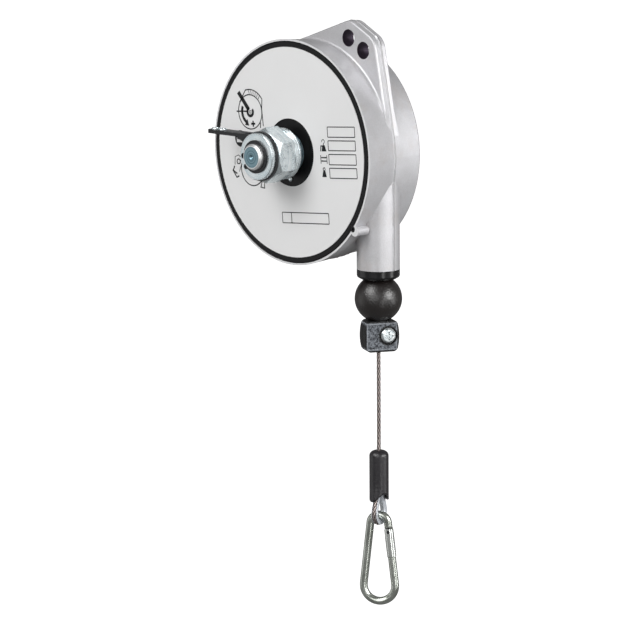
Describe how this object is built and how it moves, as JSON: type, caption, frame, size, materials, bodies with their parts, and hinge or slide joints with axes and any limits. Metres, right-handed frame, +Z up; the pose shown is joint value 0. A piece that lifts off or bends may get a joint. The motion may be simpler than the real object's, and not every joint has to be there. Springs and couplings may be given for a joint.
{
  "type": "tool balancer",
  "caption": "Spring tool balancer: round cast housing with dial plate, hub and lever, side lug with two holes, outlet tube, rubber ball, rope clamp, wire rope and snap hook.",
  "frame": {"origin": "middle of the suspension hole, half way through the lug", "axes": "+Z up against the load; the dial faces -Y; +X towards the side the rope leaves on"},
  "size_m": [0.1398, 0.0871, 0.3625],
  "materials": {
    "cast_aluminium": "blasted satin casting",
    "machined_aluminium": "turned",
    "black_paint": "semi-gloss black",
    "label_print": "printed light grey",
    "zinc_steel": "bright zinc plated",
    "steel": "turned steel",
    "black_steel": "blackened steel",
    "spring_steel": "blued strip",
    "bronze": "sintered bronze",
    "wire_rope": "stranded steel wire, oiled",
    "black_plastic": "moulded",
    "rubber": "moulded rubber",
    "clamp_plastic": "fibre filled, dark grey",
    "thimble_metal": "bright pressed"
  },
  "bodies": {
    "housing": {"housing": "cast_aluminium", "front_cover": "black_paint", "label": "label_print", "cover_pin": "zinc_steel", "lock_screw": "black_steel", "front_bush": "steel", "rear_bush": "bronze", "rear_cap": "black_plastic", "guide_bush": "black_plastic"},
    "hook_line": {"buffer_ball": "rubber", "clamp_front": "clamp_plastic", "clamp_back": "clamp_plastic", "clamp_screw": "zinc_steel", "clamp_nut": "zinc_steel", "rope_loop": "wire_rope", "ferrule": "machined_aluminium", "rope_sleeve": "black_plastic", "thimble": "thimble_metal", "rope_lead": "wire_rope"},
    "drum": {"drum": "machined_aluminium", "spring_cover": "machined_aluminium", "power_spring": "spring_steel", "drum_bearings": "steel", "rope_winding": "wire_rope"},
    "spindle": {"shaft": "steel", "retaining_ring": "black_steel", "hub_washer": "zinc_steel", "thin_washer": "zinc_steel", "hex_hub": "zinc_steel", "hub_collar": "zinc_steel", "neck_spacer": "zinc_steel", "arbor": "steel"},
    "lever": {"release_lever": "black_steel"},
    "snap_hook": {"karabiner": "zinc_steel", "gate_pin": "zinc_steel"},
    "gate": {"karabiner_gate": "zinc_steel", "gate_spring": "spring_steel"}
  },
  "joints": [
    {"name": "hook_slide", "type": "slide", "parent": "housing", "child": "hook_line", "axis": [0, 0, -1], "range_m": [0, 2], "stiffness_N_per_m": 2.5, "springref_m": -11, "deforming": ["rope_lead"]},
    {"name": "drum_spin", "type": "hinge", "parent": "housing", "child": "drum", "pos_m": [-0.0454, -0.0232, -0.0644], "axis": [0, 1, 0], "range_deg": [0, 2090]},
    {"name": "hub_turn", "type": "hinge", "parent": "housing", "child": "spindle", "pos_m": [-0.0454, -0.0232, -0.0644], "axis": [0, -1, 0], "range_deg": [0, 720]},
    {"name": "lever_press", "type": "hinge", "parent": "housing", "child": "lever", "pos_m": [-0.0454, -0.0232, -0.0644], "axis": [0, -1, 0], "range_deg": [0, 18], "stiffness_Nm_per_rad": 0.2, "springref_deg": -22.92},
    {"name": "hook_swing", "type": "hinge", "parent": "hook_line", "child": "snap_hook", "pos_m": [0.0076, 0, -0.2876], "axis": [0.8387, 0.5446, 0], "range_deg": [-50, 50]},
    {"name": "gate_open", "type": "hinge", "parent": "snap_hook", "child": "gate", "pos_m": [0.01279, 0.00337, -0.29809], "axis": [-0.5446, 0.8387, 0], "range_deg": [0, 28], "stiffness_Nm_per_rad": 0.03, "springref_deg": -57.3}
  ],
  "couplings": [
    {"joint": "drum_spin", "follows": "hook_slide", "rad_per_m": 18.182}
  ]
}
